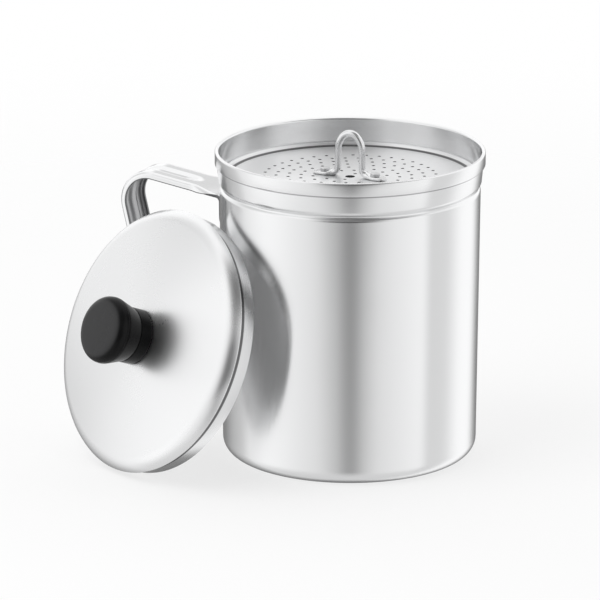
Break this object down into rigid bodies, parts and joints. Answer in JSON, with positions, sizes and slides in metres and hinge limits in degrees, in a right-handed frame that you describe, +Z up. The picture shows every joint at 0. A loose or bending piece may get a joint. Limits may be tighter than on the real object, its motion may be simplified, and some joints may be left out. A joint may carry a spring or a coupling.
{
  "type": "grease keeper with strainer",
  "caption": "Cylindrical aluminium grease can with strap handle, lift-out perforated strainer with wire loop, and domed lid with black knob leaning beside it.",
  "frame": {"origin": "on the can's axis, in the plane that the can stands on", "axes": "+Z up along the can's axis, the handle towards -X"},
  "size_m": [0.1798, 0.1492, 0.1451],
  "materials": {
    "can_aluminium": "satin, brushed round the axis",
    "lid_aluminium": "satin, brushed round the axis",
    "strainer_aluminium": "satin",
    "wire_aluminium": "satin",
    "handle_aluminium": "satin, brushed along the strap",
    "rivet_aluminium": "satin",
    "knob_phenolic": "polished black phenolic",
    "insert_brass": "turned",
    "screw_steel": "zinc plated"
  },
  "bodies": {
    "container": {"container_body": "can_aluminium", "handle_strap": "handle_aluminium", "handle_rivet_upper_left": "rivet_aluminium", "handle_rivet_upper_right": "rivet_aluminium", "handle_rivet_lower_left": "rivet_aluminium", "handle_rivet_lower_right": "rivet_aluminium"},
    "strainer": {"strainer_tray": "strainer_aluminium", "strainer_loop": "wire_aluminium", "strainer_rivet_left": "rivet_aluminium", "strainer_rivet_right": "rivet_aluminium"},
    "lid": {"lid_cover": "lid_aluminium", "lid_knob": "knob_phenolic", "knob_insert": "insert_brass", "knob_screw": "screw_steel", "knob_washer": "screw_steel"}
  },
  "joints": [
    {"name": "strainer_lift", "type": "slide", "parent": "container", "child": "strainer", "axis": [0, 0, 1], "range_m": [0, 0.08]},
    {"name": "lid_away", "type": "slide", "parent": "container", "child": "lid", "axis": [-0.4238, -0.8318, 0.3584], "range_m": [0, 0.12]}
  ]
}
